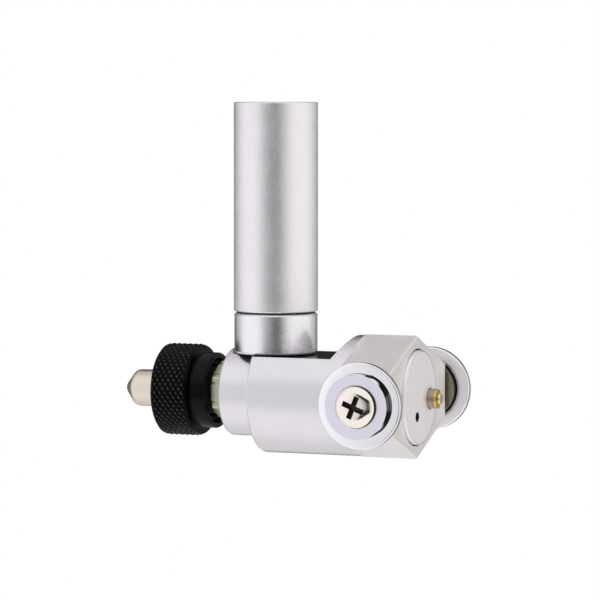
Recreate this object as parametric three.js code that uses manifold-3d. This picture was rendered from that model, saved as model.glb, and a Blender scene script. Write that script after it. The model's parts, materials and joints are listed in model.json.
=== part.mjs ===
// Wheel-guided hand tool head: a turned cross body on a tubular handle, with two guide
// wheels astride its front block, a front disc with an eccentric pin, and at the rear a
// knurled setting knob with a push spindle through it.
// Millimetres, +Z up. +X runs forward along the cross body, -Y is the near side.
// The finished group has its origin at the centre of the handle's top face.
import * as THREE from "three";
import { mergeVertices } from "three/addons/utils/BufferGeometryUtils.js";
import Module from "manifold-3d";

const wasm = await Module();
wasm.setup();

// ---------------------------------------------------------------- driving dimensions
// Heights are measured from the cross body's axis, lengths from the handle's axis.
const HANDLE_RADIUS = 8.0;
const HANDLE_TOP = 55.2;
const BODY_RADIUS = 11.43;
const FLAT_HEIGHT = 7.43;
const BLOCK_HALF_WIDTH = 16.0;
const BLOCK_RIDGE = 11.6;
const WHEEL_RADIUS = 8.0;
const SPINDLE_RADIUS = 3.53;
const KNURL_RADIUS = 8.85;

const RUNNING_GAP = 0.07;
const SEAT_GAP = 0.1;

const tube = {
  bottom: 15.6,
  wall: 1.5,
};
const collar = {
  bottom: 7.63,
  top: 15.3,
  radius: HANDLE_RADIUS - 0.1,
  chamfer: 0.35,
};
const stud = {
  radius: 3.0,
  bottom: 4.5,
  top: 24.0,
};
const insert = {
  bottom: 15.9,
  top: 26.0,
};
const plug = {
  depth: 6.0,
};
const body = {
  rearRadius: 8.4,
  rearEnd: -8.6,
  step: -1.6,
  front: 18.4,
  edge: 0.4,
  rampFoot: 14.4,
  rampSlope: 1.6,
};
const spotface = {
  radius: HANDLE_RADIUS + 0.2,
};
const block = {
  back: 18.1,
  front: 28.6,
  sideHalfHeight: 5.3,
  edge: 0.35,
};
const disc = {
  radius: 8.85,
  back: 26.0,
  front: 29.2,
  edge: 0.2,
  boreGap: 0.25,
  dimple: { radius: 0.8, y: -1.8, z: -3.5 },
};
const pin = {
  y: 5.5,
  z: -0.65,
  radius: 1.9,
  holeGap: 0.15,
  holderEnd: 30.3,
  ferruleEnd: 30.8,
  tip: 31.4,
  tipRadius: 1.1,
};
const chamber = {
  bushBore: { from: -8.6, to: -3.0 },
  guide: { from: -3.0, to: 4.5 },
  spring: { radius: 5.2, from: 4.5, to: 15.5 },
  seat: { radius: 7.1, from: 15.5, to: 17.7 },
  carrier: { radius: 8.0, from: 17.7, to: 26.0 },
};
const bush = {
  threadRadius: 4.6,
  spigotRadius: 4.1,
  rearEnd: -17.3,
  frontEnd: -3.1,
  hexAcrossFlats: 10.0,
  hexRear: -11.3,
};
const stopRing = {
  from: -17.2,
  to: -16.7,
  radius: 5.4,
};
const knob = {
  rear: -22.6,
  knurlFront: -15.4,
  chamfer: 0.4,
  neckStart: -14.9,
  front: -11.8,
  neckRadius: 7.25,
  edge: 0.5,
  wall: 1.2,
  boreRadius: 6.3,
};
const threadInsert = {
  from: -15.9,
  to: -13.9,
};
const knobRing = {
  centre: -13.2,
  section: 0.6,
  radius: 5.45,
};
const thrustWasher = {
  from: -21.3,
  to: -20.7,
};
const spindleClip = {
  from: -20.6,
  to: -20.0,
  radius: 4.9,
};
const spindle = {
  tip: -31.0,
  coneBase: -27.8,
  noseRadius: 1.4,
  noseEnd: 52,
  flank: [[2.85, 1.85], [3.3, 2.4], [3.48, 2.85]],
  shoulder: 18.6,
  spigotRadius: 2.4,
  front: 22.4,
};
const springCollar = {
  from: 5.6,
  to: 6.5,
  radius: 4.8,
};
const spring = {
  wire: 0.42,
  coilRadius: 4.45,
  turns: 5,
};
const springSeat = {
  from: 15.5,
  to: 17.5,
};
const carrier = {
  thickness: 2.0,
  radius: 7.7,
};
const carrierNut = {
  thickness: 1.4,
  radius: 3.3,
};
const wheel = {
  x: 24.4,
  y: 19.4,
  rimHalfWidth: 0.8,
  rimEdge: 0.3,
  seatRadius: 6.0,
  bushRadius: 3.9,
  outerFace: { y: 21.85, radius: 5.95, footRadius: 6.0 },
  innerFace: { y: 17.5, radius: 5.4, footRadius: 5.5 },
};
const axle = {
  shankRadius: 2.0,
  tip: 10.5,
  sleeveRadius: 2.9,
  sleeveEnd: 22.0,
  spacerThickness: 0.7,
  spacerRadius: 3.6,
  headRadius: 3.8,
  headHeight: 1.45,
  headEdge: 0.5,
  recessReach: 2.15,
  recessWidth: 0.95,
  recessDepth: 0.95,
  recessTurn: 22,
};

// Sides of the turned pieces: multiples of four, so that every radius is met on both axes.
const FINE = 40;
const MEDIUM = 28;
const COARSE = 20;

// ------------------------------------------------------------------------- materials
function material(color, roughness, metalness) {
  return new THREE.MeshStandardMaterial({ color, roughness, metalness });
}
const satinAluminium = material(0xb9bbbf, 0.42, 0.9);
const turnedAluminium = material(0xc9c9d2, 0.5, 0.8);
const steel = material(0xb8b4ac, 0.3, 1.0);
const polishedSteel = material(0xe6e6ea, 0.15, 1.0);
const nickel = material(0xcfc3a4, 0.22, 1.0);
const zincSteel = material(0xa9a78f, 0.4, 0.9);
const brass = material(0xc8a04c, 0.3, 1.0);
const blackPlastic = material(0x161618, 0.55, 0.0);
const rubber = material(0x101011, 0.85, 0.0);
const ceramic = material(0xd9cba8, 0.4, 0.1);

// ------------------------------------------------------------------- geometry helpers
// Turned pieces are lathed about local Y, then turned exactly onto the wanted axis.
const basis = (x, y, z) =>
  new THREE.Matrix4().makeBasis(new THREE.Vector3(...x), new THREE.Vector3(...y), new THREE.Vector3(...z));
const ALONG = {
  x: basis([0, -1, 0], [1, 0, 0], [0, 0, 1]),
  y: basis([1, 0, 0], [0, 1, 0], [0, 0, 1]),
  z: basis([1, 0, 0], [0, 0, 1], [0, -1, 0]),
};
const SECTION_TO_X = basis([0, 1, 0], [0, 0, 1], [1, 0, 0]);
const SECTION_TO_Y = basis([1, 0, 0], [0, 0, 1], [0, -1, 0]);

// Shared vertices are merged and zero-area triangles dropped, so that the mesh is closed.
function closedGeometry(source) {
  const plain = source.clone();
  plain.deleteAttribute("normal");
  plain.deleteAttribute("uv");
  const merged = mergeVertices(plain, 1e-5);
  const corners = merged.index.array;
  const kept = [];
  for (let i = 0; i < corners.length; i += 3) {
    const [a, b, c] = corners.slice(i, i + 3);
    if (a !== b && b !== c && c !== a) {
      kept.push(a, b, c);
    }
  }
  merged.setIndex(kept);
  return merged;
}

function toSolid(geometry) {
  const merged = closedGeometry(geometry);
  const vertProperties = new Float32Array(merged.attributes.position.array);
  const triVerts = new Uint32Array(merged.index.array);
  return new wasm.Manifold(new wasm.Mesh({ numProp: 3, vertProperties, triVerts }));
}

function toGeometry(solid) {
  const { vertProperties, triVerts } = solid.getMesh();
  const geometry = new THREE.BufferGeometry();
  geometry.setAttribute("position", new THREE.BufferAttribute(new Float32Array(vertProperties), 3));
  geometry.setIndex(Array.from(triVerts));
  return geometry;
}

// start with the first geometry, add and cut the others.
function combine(first, { add = [], cut = [] }) {
  let solid = toSolid(first);
  for (const other of add) {
    solid = solid.add(toSolid(other));
  }
  for (const other of cut) {
    solid = solid.subtract(toSolid(other));
  }
  return toGeometry(solid);
}

// profile: [radius, position] pairs, from the low end outwards and up to the high end.
function turned(axis, profile, segments) {
  const points = profile.map(([radius, along]) => new THREE.Vector2(radius, along));
  const lathe = new THREE.LatheGeometry(points, segments);
  return closedGeometry(lathe).applyMatrix4(ALONG[axis]);
}

function rod(axis, radius, from, to, segments, edge = 0) {
  const profile = [[0, from]];
  if (edge > 0) {
    profile.push([radius - edge, from], [radius, from + edge], [radius, to - edge], [radius - edge, to]);
  } else {
    profile.push([radius, from], [radius, to]);
  }
  profile.push([0, to]);
  return turned(axis, profile, segments);
}

function ring(axis, inner, outer, from, to, segments, edge = 0) {
  const profile = [[inner, from]];
  if (edge > 0) {
    profile.push([outer - edge, from], [outer, from + edge], [outer, to - edge], [outer - edge, to]);
  } else {
    profile.push([outer, from], [outer, to]);
  }
  profile.push([inner, to], [inner, from]);
  return turned(axis, profile, segments);
}

function arcPoints(centreRadius, centreAlong, radius, fromDegrees, toDegrees, steps) {
  const points = [];
  for (let i = 0; i <= steps; i += 1) {
    const angle = THREE.MathUtils.degToRad(fromDegrees + ((toDegrees - fromDegrees) * i) / steps);
    points.push([centreRadius + radius * Math.cos(angle), centreAlong + radius * Math.sin(angle)]);
  }
  return points;
}

function outline(points) {
  return new THREE.Shape(points.map(([x, y]) => new THREE.Vector2(x, y)));
}

// A prism with its section in YZ, running along X, with both ends chamfered by edge.
function prismAlongX(points, from, to, edge = 0) {
  const geometry = new THREE.ExtrudeGeometry(outline(points), {
    depth: to - from - 2 * edge,
    bevelEnabled: edge > 0,
    bevelThickness: edge,
    bevelSize: edge,
    bevelOffset: -edge,
    bevelSegments: 1,
  });
  geometry.translate(0, 0, from + edge);
  return geometry.applyMatrix4(SECTION_TO_X);
}

// A hexagonal nut on the X axis with a round hole; radius is to its corners.
function hexNut(radius, hole, from, to) {
  const corners = [];
  for (let i = 0; i < 6; i += 1) {
    const angle = (Math.PI * (2 * i + 1)) / 6;
    corners.push([radius * Math.cos(angle), radius * Math.sin(angle)]);
  }
  const section = outline(corners);
  section.holes.push(new THREE.Path().absarc(0, 0, hole, 0, 2 * Math.PI, true));
  const geometry = new THREE.ExtrudeGeometry(section, { depth: to - from, bevelEnabled: false, curveSegments: 16 });
  geometry.translate(0, 0, from);
  return geometry.applyMatrix4(SECTION_TO_X);
}

// A prism with its section in XZ, running from -halfWidth to +halfWidth along Y.
function prismAlongY(points, halfWidth) {
  const geometry = new THREE.ExtrudeGeometry(outline(points), { depth: 2 * halfWidth, bevelEnabled: false });
  geometry.translate(0, 0, -halfWidth);
  return geometry.applyMatrix4(SECTION_TO_Y);
}

const head = new THREE.Group();
head.position.z = -HANDLE_TOP;

function place(name, geometry, look, parent = head) {
  const mesh = new THREE.Mesh(geometry, look);
  mesh.name = name;
  parent.add(mesh);
  return mesh;
}

// ------------------------------------------------------------------------ cross body
function bodyGeometry() {
  const round = turned("x", [
    [0, body.rearEnd],
    [body.rearRadius - body.edge, body.rearEnd],
    [body.rearRadius, body.rearEnd + body.edge],
    [body.rearRadius, body.step],
    [BODY_RADIUS - body.edge, body.step],
    [BODY_RADIUS, body.step + body.edge],
    [BODY_RADIUS, body.front],
    [0, body.front],
  ], FINE);
  const hexagon = prismAlongX([
    [BLOCK_HALF_WIDTH, block.sideHalfHeight],
    [0, BLOCK_RIDGE],
    [-BLOCK_HALF_WIDTH, block.sideHalfHeight],
    [-BLOCK_HALF_WIDTH, -block.sideHalfHeight],
    [0, -BLOCK_RIDGE],
    [BLOCK_HALF_WIDTH, -block.sideHalfHeight],
  ], block.back, block.front, block.edge);
  const above = 5;
  const rampRise = BODY_RADIUS + above - FLAT_HEIGHT;
  const flat = prismAlongY([
    [body.step, FLAT_HEIGHT],
    [body.rampFoot, FLAT_HEIGHT],
    [body.rampFoot + rampRise / body.rampSlope, FLAT_HEIGHT + rampRise],
    [body.step, FLAT_HEIGHT + rampRise],
  ], BODY_RADIUS + 1);
  const milledRound = toGeometry(toSolid(round).subtract(toSolid(flat)));
  const through = 1;
  const { bushBore, guide, spring: springBore, seat, carrier: carrierBore } = chamber;
  const bore = turned("x", [
    [0, body.rearEnd - through],
    [bush.spigotRadius + SEAT_GAP, body.rearEnd - through],
    [bush.spigotRadius + SEAT_GAP, bushBore.to],
    [SPINDLE_RADIUS + SEAT_GAP, guide.from],
    [SPINDLE_RADIUS + SEAT_GAP, guide.to],
    [springBore.radius, springBore.from],
    [springBore.radius, springBore.to],
    [seat.radius, seat.from],
    [seat.radius, seat.to],
    [carrierBore.radius, carrierBore.from],
    [carrierBore.radius, disc.back],
    [disc.radius + disc.boreGap, disc.back],
    [disc.radius + disc.boreGap, block.front + through],
    [0, block.front + through],
  ], MEDIUM);
  return combine(milledRound, {
    add: [hexagon],
    cut: [
      bore,
      rod("z", spotface.radius, FLAT_HEIGHT, FLAT_HEIGHT + above, FINE),
      rod("z", stud.radius + SEAT_GAP, stud.bottom - SEAT_GAP, FLAT_HEIGHT + through, COARSE),
      ...[-1, 1].map((side) => axleHole(side)),
    ],
  });
}

function axleHole(side) {
  const hole = rod("y", axle.shankRadius + SEAT_GAP, axle.tip - 0.3, BLOCK_HALF_WIDTH + 1, COARSE);
  return toSide(hole, side).translate(wheel.x, 0, 0);
}

// Pieces made for the +Y side are turned half round about Z for the -Y side.
function toSide(geometry, side) {
  const half = basis([side, 0, 0], [0, side, 0], [0, 0, 1]);
  return geometry.applyMatrix4(half);
}

function frontDiscGeometry() {
  const plate = turned("x", [
    [0, disc.back],
    [disc.radius, disc.back],
    [disc.radius, disc.front - disc.edge],
    [disc.radius - disc.edge, disc.front],
    [0, disc.front],
  ], FINE);
  const hole = (radius, y, z) => rod("x", radius, disc.back - 1, disc.front + 1, COARSE).translate(0, y, z);
  return combine(plate, {
    cut: [
      hole(pin.radius + pin.holeGap, pin.y, pin.z),
      hole(disc.dimple.radius, disc.dimple.y, disc.dimple.z),
    ],
  });
}

place("body_block", bodyGeometry(), turnedAluminium);
place("front_disc", frontDiscGeometry(), turnedAluminium);

// ---------------------------------------------------------------------------- handle
function buildHandle() {
  const bore = stud.radius + SEAT_GAP;
  const tubeBore = HANDLE_RADIUS - tube.wall;
  place(
    "handle_gasket",
    ring("z", bore, collar.radius - 0.6, FLAT_HEIGHT, collar.bottom, MEDIUM),
    rubber,
  );
  place(
    "handle_collar",
    ring("z", bore, collar.radius, collar.bottom, collar.top, FINE, collar.chamfer),
    satinAluminium,
  );
  place("seam_washer", ring("z", bore, HANDLE_RADIUS - 0.5, collar.top, tube.bottom, MEDIUM), rubber);
  const tubeEdge = 0.2;
  place(
    "handle_tube",
    ring("z", tubeBore, HANDLE_RADIUS, tube.bottom, HANDLE_TOP, FINE, tubeEdge),
    satinAluminium,
  );
  place("handle_stud", rod("z", stud.radius, stud.bottom, stud.top, COARSE, 0.3), steel);
  place(
    "handle_insert",
    ring("z", bore, tubeBore - SEAT_GAP, insert.bottom, insert.top, MEDIUM),
    brass,
  );
  place(
    "handle_end_plug",
    rod("z", tubeBore - SEAT_GAP, HANDLE_TOP - plug.depth, HANDLE_TOP, MEDIUM, 0.2),
    satinAluminium,
  );
}
buildHandle();

// -------------------------------------------------------------------- rear bush, knob
function buildBush() {
  const bore = SPINDLE_RADIUS + SEAT_GAP;
  const step = body.rearEnd;
  const profile = [
    [bore, bush.rearEnd],
    [bush.threadRadius - 0.3, bush.rearEnd],
    [bush.threadRadius, bush.rearEnd + 0.3],
    [bush.threadRadius, step],
    [bush.spigotRadius, step],
    [bush.spigotRadius, bush.frontEnd],
    [bore, bush.frontEnd],
    [bore, bush.rearEnd],
  ];
  const flange = hexNut(bush.hexAcrossFlats / Math.sqrt(3), bush.spigotRadius, bush.hexRear, body.rearEnd);
  place("thread_bush", combine(turned("x", profile, MEDIUM), { add: [flange] }), zincSteel);
  const ringBore = bush.threadRadius + RUNNING_GAP;
  place("bush_stop_ring", ring("x", ringBore, stopRing.radius, stopRing.from, stopRing.to, MEDIUM), steel);
}

function buildKnob() {
  const hole = SPINDLE_RADIUS + 0.2;
  const chamberRear = knob.rear + knob.wall;
  const profile = [
    [hole, knob.rear],
    [KNURL_RADIUS - knob.edge, knob.rear],
    [KNURL_RADIUS, knob.rear + knob.edge],
    [KNURL_RADIUS, knob.knurlFront],
    [KNURL_RADIUS - knob.chamfer, knob.knurlFront + knob.chamfer],
    [knob.neckRadius, knob.neckStart],
    [knob.neckRadius, knob.front - 0.3],
    [knob.neckRadius - 0.3, knob.front],
    [knob.boreRadius, knob.front],
    [knob.boreRadius, chamberRear],
    [hole, chamberRear],
    [hole, knob.rear],
  ];
  place("knurled_knob", turned("x", profile, FINE), blackPlastic);
  const insertBore = bush.threadRadius + RUNNING_GAP;
  const insertOuter = knob.boreRadius - SEAT_GAP;
  place(
    "knob_thread_insert",
    ring("x", insertBore, insertOuter, threadInsert.from, threadInsert.to, MEDIUM),
    brass,
  );
  const section = arcPoints(knobRing.radius, knobRing.centre, knobRing.section, -90, 270, 8);
  place("knob_o_ring", turned("x", section, MEDIUM), rubber);
  place(
    "thrust_washer",
    ring("x", hole, knob.boreRadius - SEAT_GAP, thrustWasher.from, thrustWasher.to, MEDIUM),
    steel,
  );
}
buildBush();
buildKnob();

// ------------------------------------------------------------------- spindle and pin
function springGeometry() {
  const from = springCollar.to + spring.wire + RUNNING_GAP;
  const to = springSeat.from - spring.wire - RUNNING_GAP;
  class Helix extends THREE.Curve {
    getPoint(t, target = new THREE.Vector3()) {
      const angle = 2 * Math.PI * spring.turns * t;
      return target.set(
        from + (to - from) * t,
        spring.coilRadius * Math.cos(angle),
        spring.coilRadius * Math.sin(angle),
      );
    }
  }
  const sides = 5;
  const section = [];
  for (let i = 0; i < sides; i += 1) {
    const angle = (2 * Math.PI * i) / sides;
    section.push([spring.wire * Math.cos(angle), spring.wire * Math.sin(angle)]);
  }
  const stepsPerTurn = 12;
  return new THREE.ExtrudeGeometry(outline(section), {
    steps: stepsPerTurn * spring.turns,
    extrudePath: new Helix(),
    bevelEnabled: false,
  });
}

function buildSpindle() {
  const nose = spindle.noseRadius;
  const profile = [
    ...arcPoints(0, spindle.tip + nose, nose, -90, -spindle.noseEnd, 4),
    ...spindle.flank.map(([radius, back]) => [radius, spindle.tip + back]),
    [SPINDLE_RADIUS, spindle.coneBase],
    [SPINDLE_RADIUS, spindle.shoulder],
    [spindle.spigotRadius, spindle.shoulder],
    [spindle.spigotRadius, spindle.front],
    [0, spindle.front],
  ];
  profile[0] = [0, spindle.tip];
  place("spindle", turned("x", profile, MEDIUM), steel);
  const onSpindle = SPINDLE_RADIUS + RUNNING_GAP;
  const { from: clipRear, to: clipFront } = spindleClip;
  place("spindle_clip", ring("x", onSpindle, spindleClip.radius, clipRear, clipFront, MEDIUM), steel);
  const { from: collarRear, to: collarFront } = springCollar;
  place("spring_collar", ring("x", onSpindle, springCollar.radius, collarRear, collarFront, MEDIUM), steel);
  place("return_spring", springGeometry(), steel);
  const seatOuter = chamber.seat.radius - SEAT_GAP;
  place(
    "spring_seat",
    ring("x", SPINDLE_RADIUS + SEAT_GAP, seatOuter, springSeat.from, springSeat.to, MEDIUM),
    brass,
  );
}

function buildPin() {
  const rear = spindle.shoulder;
  const face = rear + carrier.thickness;
  const hubHole = spindle.spigotRadius + RUNNING_GAP;
  const plate = ring("x", hubHole, carrier.radius, rear, face, MEDIUM);
  place("pin_carrier", plate, steel);
  place("carrier_nut", hexNut(carrierNut.radius, hubHole, face, face + carrierNut.thickness), steel);
  const pinAxis = new THREE.Group();
  pinAxis.position.set(0, pin.y, pin.z);
  head.add(pinAxis);
  place("pin_holder", rod("x", pin.radius, face, pin.holderEnd, COARSE), steel, pinAxis);
  const ferrule = rod("x", pin.radius - 0.05, pin.holderEnd, pin.ferruleEnd, COARSE);
  place("pin_ferrule", ferrule, brass, pinAxis);
  const tipLength = pin.tip - pin.ferruleEnd;
  const rounding = 0.45;
  const tipProfile = [
    [0, pin.ferruleEnd],
    [pin.tipRadius, pin.ferruleEnd],
    ...arcPoints(pin.tipRadius - rounding, pin.ferruleEnd + tipLength - rounding, rounding, 0, 90, 4),
    [0, pin.tip],
  ];
  place("pin_tip", turned("x", tipProfile, COARSE), ceramic, pinAxis);
}
buildSpindle();
buildPin();

// ---------------------------------------------------------------------------- wheels
function screwGeometry() {
  const { headRadius, headHeight, headEdge, sleeveEnd, shankRadius, tip } = axle;
  const top = sleeveEnd + headHeight;
  const domeRise = headHeight - headEdge;
  const domeSteps = 5;
  const dome = [];
  for (let i = 0; i <= domeSteps; i += 1) {
    const angle = (Math.PI / 2) * (i / domeSteps);
    dome.push([headRadius * Math.cos(angle), sleeveEnd + headEdge + domeRise * Math.sin(angle)]);
  }
  dome[domeSteps] = [0, top];
  const screw = turned("y", [
    [0, tip],
    [shankRadius - 0.4, tip],
    [shankRadius, tip + 0.4],
    [shankRadius, sleeveEnd],
    [headRadius, sleeveEnd],
    ...dome,
  ], COARSE);
  const slot = (lengthX, lengthZ) => {
    const cutter = new THREE.BoxGeometry(lengthX, 2 * axle.recessDepth, lengthZ);
    return cutter.rotateY(THREE.MathUtils.degToRad(axle.recessTurn)).translate(0, top, 0);
  };
  const { recessReach, recessWidth } = axle;
  return combine(screw, { cut: [slot(2 * recessReach, recessWidth), slot(recessWidth, 2 * recessReach)] });
}

function buildWheel(side, label) {
  const { y, rimHalfWidth, rimEdge, seatRadius, bushRadius, outerFace, innerFace } = wheel;
  const station = new THREE.Group();
  station.position.set(wheel.x, 0, 0);
  head.add(station);
  const put = (name, geometry, look) => place(`${name}_${label}`, toSide(geometry, side), look, station);

  const blockFace = BLOCK_HALF_WIDTH;
  const spacerFace = blockFace + axle.spacerThickness;
  const shankHole = axle.shankRadius + SEAT_GAP;
  put("spacer_washer", ring("y", shankHole, axle.spacerRadius, blockFace, spacerFace, COARSE), steel);
  put("axle_sleeve", ring("y", shankHole, axle.sleeveRadius, spacerFace, axle.sleeveEnd, COARSE), brass);
  put("axle_screw", screwGeometry(), nickel);

  const bushBore = axle.sleeveRadius + RUNNING_GAP;
  put("wheel_bush", ring("y", bushBore, bushRadius, innerFace.y, outerFace.y, COARSE), brass);
  const hubBore = bushRadius + RUNNING_GAP;
  const hub = turned("y", [
    [hubBore, innerFace.y],
    [innerFace.radius, innerFace.y],
    [innerFace.footRadius, y - rimHalfWidth],
    [seatRadius, y - rimHalfWidth],
    [outerFace.footRadius, y + rimHalfWidth],
    [outerFace.radius, outerFace.y],
    [hubBore, outerFace.y],
    [hubBore, innerFace.y],
  ], MEDIUM);
  put("wheel_hub", hub, turnedAluminium);
  const rimBore = seatRadius + RUNNING_GAP;
  const edgeRadius = WHEEL_RADIUS - rimEdge;
  const edgeOffset = rimHalfWidth - rimEdge;
  const tread = [
    ...arcPoints(edgeRadius, y - edgeOffset, rimEdge, -90, 0, 3),
    ...arcPoints(edgeRadius, y + edgeOffset, rimEdge, 0, 90, 3),
  ];
  const rim = [[rimBore, y - rimHalfWidth], ...tread, [rimBore, y + rimHalfWidth], [rimBore, y - rimHalfWidth]];
  put("wheel_rim", turned("y", rim, FINE), polishedSteel);
}
buildWheel(-1, "near");
buildWheel(1, "far");

const group = new THREE.Group();
group.add(head);

export default group;
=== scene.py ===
import json
import math

import bmesh
import bpy
import numpy as np
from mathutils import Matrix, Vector


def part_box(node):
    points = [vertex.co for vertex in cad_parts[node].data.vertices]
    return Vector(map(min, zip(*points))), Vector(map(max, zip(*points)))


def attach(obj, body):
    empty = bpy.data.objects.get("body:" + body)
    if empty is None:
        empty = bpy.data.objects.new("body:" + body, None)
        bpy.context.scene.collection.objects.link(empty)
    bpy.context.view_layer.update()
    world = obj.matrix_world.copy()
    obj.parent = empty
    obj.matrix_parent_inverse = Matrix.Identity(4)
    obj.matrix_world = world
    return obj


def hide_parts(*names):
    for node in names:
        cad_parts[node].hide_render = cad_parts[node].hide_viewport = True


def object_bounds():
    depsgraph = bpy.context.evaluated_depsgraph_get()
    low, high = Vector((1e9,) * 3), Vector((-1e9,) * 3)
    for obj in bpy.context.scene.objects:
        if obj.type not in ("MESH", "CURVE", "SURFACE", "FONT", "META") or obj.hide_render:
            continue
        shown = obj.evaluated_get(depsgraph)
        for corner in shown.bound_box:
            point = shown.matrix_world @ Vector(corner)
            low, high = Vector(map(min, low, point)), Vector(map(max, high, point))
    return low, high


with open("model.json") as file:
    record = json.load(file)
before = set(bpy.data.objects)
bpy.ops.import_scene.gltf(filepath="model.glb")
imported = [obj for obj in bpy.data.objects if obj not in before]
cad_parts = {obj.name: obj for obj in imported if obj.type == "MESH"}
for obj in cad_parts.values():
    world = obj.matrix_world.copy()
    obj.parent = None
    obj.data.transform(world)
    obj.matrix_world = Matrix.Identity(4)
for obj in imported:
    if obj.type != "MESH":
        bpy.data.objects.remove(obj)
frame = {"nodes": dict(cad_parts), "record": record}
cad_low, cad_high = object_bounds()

# A wheel-guided hand tool head. +X runs forward along its cross body, +Z up its handle, and
# -Y is the near side. Shapes are worked out in millimetres, measured from the point where the
# handle's axis meets the body's axis, and to_frame() makes them metres in the frame.
MM = 0.001
TURN = 2 * math.pi
record = frame["record"]
slot_of = {part["node"]: part["material_slot"] for part in record["subparts"]}
body_of = {node: body for body, nodes in record["behaviour"]["bodies"].items() for node in nodes}
AXIS_Z = sum(corner.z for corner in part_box("spindle")) / 2 / MM


def span(node, axis):
    """Lowest and highest coordinate of a CAD node along x, y or z, in mm from the axes' crossing."""
    low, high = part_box(node)
    index = "xyz".index(axis)
    drop = AXIS_Z if axis == "z" else 0.0
    return low[index] / MM - drop, high[index] / MM - drop


def half_width(node, axis="y"):
    """Half of a CAD node's breadth along x, y or z, in mm."""
    low, high = span(node, axis)
    return (high - low) / 2


# ------------------------------------------------------------------------------- meshes
def to_frame(points):
    """Millimetres from the axes' crossing into metres in the frame."""
    return (np.asarray(points, dtype=float) + (0.0, 0.0, AXIS_Z)) * MM


def mesh_from_grid(name, points, close_rows=False, sharp=30.0):
    """A grid of points (rows, columns, 3) whose columns run round in a ring becomes one closed
    surface. A row that shrinks to a point is merged, which closes that pole, and close_rows
    joins the last row to the first."""
    rows, columns, _ = points.shape
    index = np.arange(rows * columns).reshape(rows, columns)
    lower = index if close_rows else index[:-1]
    upper = np.roll(index, -1, axis=0) if close_rows else index[1:]
    quads = np.stack(
        [lower, np.roll(lower, -1, axis=1), np.roll(upper, -1, axis=1), upper], axis=-1
    ).reshape(-1, 4)
    mesh = bpy.data.meshes.new(name)
    mesh.from_pydata(to_frame(points.reshape(-1, 3)), [], quads.tolist())
    work = bmesh.new()
    work.from_mesh(mesh)
    bmesh.ops.remove_doubles(work, verts=work.verts, dist=1e-7)
    bmesh.ops.dissolve_degenerate(work, edges=work.edges, dist=1e-8)
    bmesh.ops.recalc_face_normals(work, faces=work.faces)
    work.to_mesh(mesh)
    work.free()
    mesh.shade_smooth()
    mesh.set_sharp_from_angle(angle=math.radians(sharp))
    piece = bpy.data.objects.new(name, mesh)
    bpy.context.scene.collection.objects.link(piece)
    return piece


def stand_for(node, piece, material):
    """The piece takes the place, body and finish of a CAD node."""
    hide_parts(node)
    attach(piece, body_of[node])
    piece.data.materials.append(material)
    return piece


def repaint(piece, material, chosen):
    """Gives a second finish to the faces whose centre, in mm from the axes' crossing, and normal
    chosen() picks."""
    piece.data.materials.append(material)
    for face in piece.data.polygons:
        x, y, z = face.center / MM
        if chosen(x, y, z - AXIS_Z, face.normal):
            face.material_index = len(piece.data.materials) - 1


def blended_corner(before, corner, after, size, steps=4):
    """A corner of a polyline as a short curve that leaves each side at most size from it."""
    before, corner, after = (np.array(point, dtype=float) for point in (before, corner, after))
    into, out = before - corner, after - corner
    room = min(size, 0.45 * np.linalg.norm(into), 0.45 * np.linalg.norm(out))
    start = corner + into / np.linalg.norm(into) * room
    end = corner + out / np.linalg.norm(out) * room
    t = np.linspace(0, 1, steps + 1)[:, None]
    return list((1 - t) ** 2 * start + 2 * t * (1 - t) * corner + t**2 * end)


def soft_loop(points, size):
    """A closed outline with every corner blended."""
    soft = []
    for i, corner in enumerate(points):
        soft += blended_corner(points[i - 1], corner, points[(i + 1) % len(points)], size)
    return soft


def soft_line(points, size):
    """An open outline with every corner blended except its two ends."""
    soft = [points[0]]
    for before, corner, after in zip(points, points[1:], points[2:]):
        soft += blended_corner(before, corner, after, size)
    return soft + [points[-1]]


def arc(centre_radius, centre_along, radius, start, end, steps=14):
    """Points [radius, along] on a circle in the profile plane, angles in degrees from +radius."""
    angles = np.radians(np.linspace(start, end, steps + 1))
    return [[centre_radius + radius * math.cos(a), centre_along + radius * math.sin(a)] for a in angles]


def swept(axis, radius, along, angle, centre=(0.0, 0.0)):
    """Points at radius from a line along the axis, broadcast over a grid."""
    around_a = radius * np.cos(angle) + centre[0]
    around_b = radius * np.sin(angle) + centre[1]
    straight = along + np.zeros_like(around_a)
    order = {
        "x": (straight, around_a, around_b),
        "y": (around_a, straight, around_b),
        "z": (around_a, around_b, straight),
    }
    return np.stack(order[axis], axis=-1)


def turned(name, axis, profile, centre=(0.0, 0.0), columns=160, closed=False, sharp=30.0):
    """A surface of revolution: each profile point [radius, along] is carried round the axis.
    centre is the axis's place in the other two directions. A closed profile makes a ring."""
    radius, along = np.array(profile, dtype=float).T[:, :, None]
    angle = np.arange(columns) * TURN / columns
    return mesh_from_grid(name, swept(axis, radius, along, angle, centre), closed, sharp)


def ring_profile(inner, outer, start, end):
    """The four corners of a plain ring's section."""
    return [(inner, start), (outer, start), (outer, end), (inner, end)]


# ---------------------------------------------------------------------------- materials
def srgb(red, green, blue):
    """A display colour from 0 to 255 as linear light."""
    levels = [level / 255 for level in (red, green, blue)]
    return tuple(l / 12.92 if l < 0.04045 else ((l + 0.055) / 1.055) ** 2.4 for l in levels) + (1.0,)


def add(tree, kind, inputs=None, **settings):
    """A node with its settings, and its inputs either set or linked."""
    made = tree.nodes.new(kind)
    for key, value in settings.items():
        setattr(made, key, value)
    for key, value in (inputs or {}).items():
        if isinstance(value, bpy.types.NodeSocket):
            tree.links.new(value, made.inputs[key])
        else:
            made.inputs[key].default_value = value
    return made


def calc(tree, operation, *values, clamp=False):
    """One step of arithmetic on values or sockets."""
    inputs = dict(enumerate(values))
    return add(tree, "ShaderNodeMath", inputs, operation=operation, use_clamp=clamp).outputs[0]


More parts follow.
